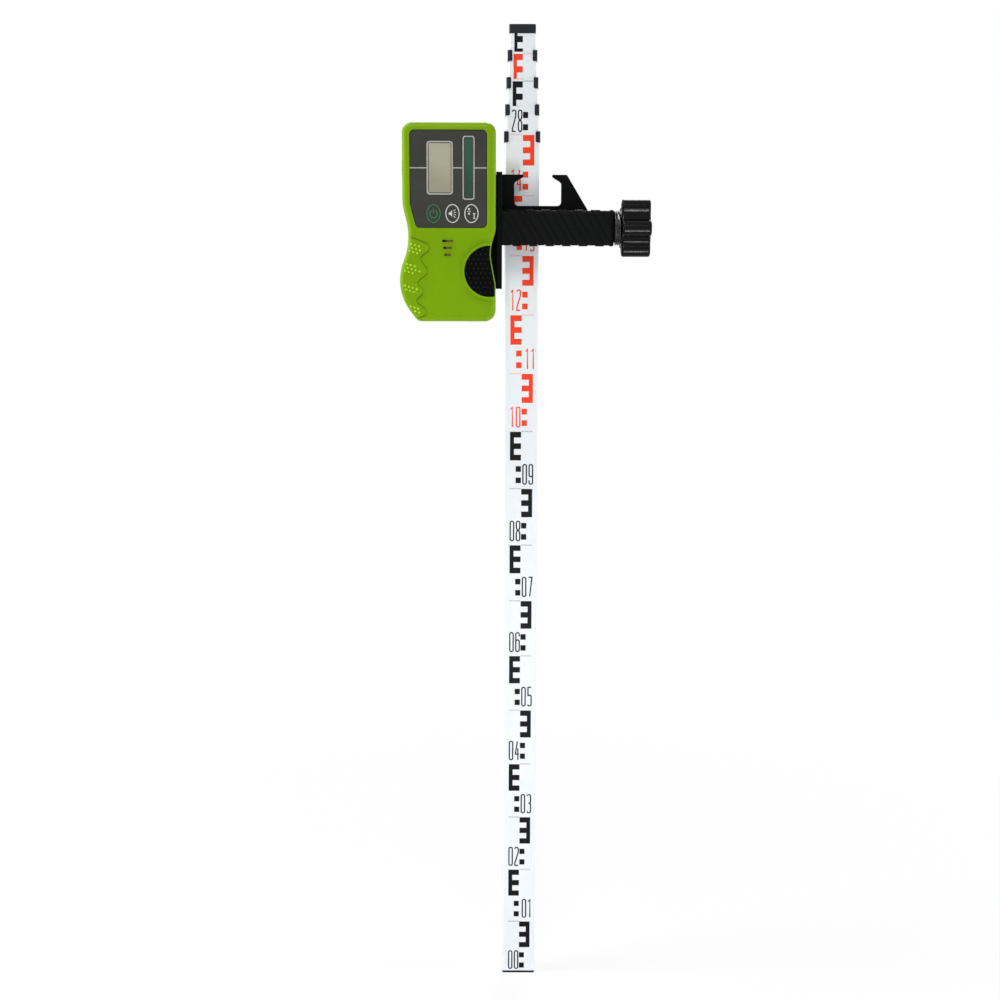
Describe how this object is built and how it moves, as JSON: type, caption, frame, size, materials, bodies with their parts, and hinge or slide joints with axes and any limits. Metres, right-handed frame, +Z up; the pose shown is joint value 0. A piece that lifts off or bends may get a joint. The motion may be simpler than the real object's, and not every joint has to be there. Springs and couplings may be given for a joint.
{
  "type": "laser receiver on a levelling staff",
  "caption": "Hand-held laser receiver with display, held by a screw rod clamp with a star knob on a closed telescopic levelling staff with a decimetre scale.",
  "frame": {"origin": "centre of the underside of the staff's foot", "axes": "+Z up along the staff, -Y out of the graduated face, +X to the right of someone reading it"},
  "size_m": [0.4128, 0.147, 1.68],
  "materials": {
    "staff_white": "white powder coat with printed scale",
    "staff_dark": "moulded, satin",
    "plug_plastic": "moulded",
    "steel": "zinc plated",
    "spring_steel": "bright wire",
    "case_lime": "moulded, semi-gloss",
    "panel_dark": "printed overlay under clear film",
    "lcd_grey": "unlit display glass",
    "sensor_green": "tinted filter",
    "thumb_rubber": "dotted",
    "seal_rubber": "soft",
    "board_green": "solder mask",
    "buzzer_black": "moulded",
    "cell_wrap": "printed wrap",
    "contact_metal": "nickel plated",
    "brass": "machined",
    "clamp_black": "glass-filled nylon, matt",
    "sleeve_rubber": "slanted bands",
    "knob_black": "moulded, glossy"
  },
  "bodies": {
    "staff_base": {"section_1": "staff_white", "base_shoe": "staff_dark", "collar_1": "staff_dark", "lock_spring_1": "spring_steel"},
    "tube_2": {"section_2": "staff_white", "section_2_plug": "plug_plastic", "collar_2": "staff_dark", "lock_spring_2": "spring_steel"},
    "tube_3": {"section_3": "staff_white", "section_3_plug": "plug_plastic", "collar_3": "staff_dark", "lock_spring_3": "spring_steel"},
    "tube_4": {"section_4": "staff_white", "section_4_plug": "plug_plastic", "collar_4": "staff_dark", "lock_spring_4": "spring_steel"},
    "tube_5": {"section_5": "staff_white", "section_5_plug": "plug_plastic", "top_cap": "staff_dark"},
    "lock_1": {"lock_button_1": "staff_dark"},
    "lock_2": {"lock_button_2": "staff_dark"},
    "lock_3": {"lock_button_3": "staff_dark"},
    "lock_4": {"lock_button_4": "staff_dark"},
    "clamp": {"mount_bracket": "clamp_black", "clamp_screws": "steel", "clamp_beam": "clamp_black", "grip_sleeve": "sleeve_rubber", "beam_end_cap": "clamp_black", "fixed_jaw": "clamp_black", "fixed_jaw_pad": "seal_rubber", "thrust_washers": "steel", "knob_spring": "spring_steel", "locating_pins": "steel", "front_case": "case_lime", "rear_case": "case_lime", "case_seal": "seal_rubber", "front_panel": "panel_dark", "lcd_module": "lcd_grey", "sensor_window": "sensor_green", "sensor_board": "board_green", "main_board": "board_green", "buzzer": "buzzer_black", "thumb_pad": "thumb_rubber", "battery_cells": "cell_wrap", "battery_contacts": "contact_metal", "hatch_pin": "steel", "case_screws": "steel", "board_screws": "steel", "mounting_insert": "brass"},
    "jaw": {"moving_jaw": "clamp_black", "moving_jaw_pad": "seal_rubber", "jaw_nut": "brass"},
    "knob": {"star_knob": "knob_black", "lead_screw": "steel"},
    "mount_screw": {"captive_screw": "steel", "retaining_ring": "steel"},
    "power_key": {"power_button": "panel_dark"},
    "sound_key": {"sound_button": "panel_dark"},
    "precision_key": {"precision_button": "panel_dark"},
    "hatch": {"battery_hatch": "case_lime"}
  },
  "joints": [
    {"name": "extend_2", "type": "slide", "parent": "staff_base", "child": "tube_2", "axis": [0, 0, 1], "range_m": [0, 1.302]},
    {"name": "extend_3", "type": "slide", "parent": "tube_2", "child": "tube_3", "axis": [0, 0, 1], "range_m": [0, 1.31]},
    {"name": "extend_4", "type": "slide", "parent": "tube_3", "child": "tube_4", "axis": [0, 0, 1], "range_m": [0, 1.357]},
    {"name": "extend_5", "type": "slide", "parent": "tube_4", "child": "tube_5", "axis": [0, 0, 1], "range_m": [0, 1.346]},
    {"name": "lock_1_pull", "type": "slide", "parent": "staff_base", "child": "lock_1", "axis": [0, 1, 0], "range_m": [0, 0.003], "stiffness_N_per_m": 900, "springref_m": -0.003, "deforming": ["lock_spring_1"]},
    {"name": "lock_2_pull", "type": "slide", "parent": "tube_2", "child": "lock_2", "axis": [0, 1, 0], "range_m": [0, 0.003], "stiffness_N_per_m": 900, "springref_m": -0.003, "deforming": ["lock_spring_2"]},
    {"name": "lock_3_pull", "type": "slide", "parent": "tube_3", "child": "lock_3", "axis": [0, 1, 0], "range_m": [0, 0.003], "stiffness_N_per_m": 900, "springref_m": -0.003, "deforming": ["lock_spring_3"]},
    {"name": "lock_4_pull", "type": "slide", "parent": "tube_4", "child": "lock_4", "axis": [0, 1, 0], "range_m": [0, 0.003], "stiffness_N_per_m": 900, "springref_m": -0.003, "deforming": ["lock_spring_4"]},
    {"name": "clamp_slide", "type": "slide", "parent": "staff_base", "child": "clamp", "axis": [0, 0, 1], "range_m": [-1.05, 0.1]},
    {"name": "knob_turn", "type": "hinge", "parent": "clamp", "child": "knob", "pos_m": [0.188, -0.0585, 1.347], "axis": [1, 0, 0], "range_deg": [0, 2996]},
    {"name": "jaw_slide", "type": "slide", "parent": "clamp", "child": "jaw", "axis": [1, 0, 0], "range_m": [0, 0.025]},
    {"name": "mount_screw_turn", "type": "hinge", "parent": "clamp", "child": "mount_screw", "pos_m": [-0.11985, -0.036, 1.35], "axis": [0, 1, 0], "range_deg": [0, 1440]},
    {"name": "power_press", "type": "slide", "parent": "clamp", "child": "power_key", "axis": [0, 1, 0], "range_m": [0, 0.0015], "stiffness_N_per_m": 700, "springref_m": -0.002},
    {"name": "sound_press", "type": "slide", "parent": "clamp", "child": "sound_key", "axis": [0, 1, 0], "range_m": [0, 0.0015], "stiffness_N_per_m": 700, "springref_m": -0.002},
    {"name": "precision_press", "type": "slide", "parent": "clamp", "child": "precision_key", "axis": [0, 1, 0], "range_m": [0, 0.0015], "stiffness_N_per_m": 700, "springref_m": -0.002},
    {"name": "hatch_open", "type": "hinge", "parent": "clamp", "child": "hatch", "pos_m": [-0.11985, -0.049, 1.22568], "axis": [-1, 0, 0], "range_deg": [0, 100]}
  ],
  "couplings": [
    {"joint": "jaw_slide", "follows": "knob_turn", "m_per_rad": 0.00047746}
  ]
}
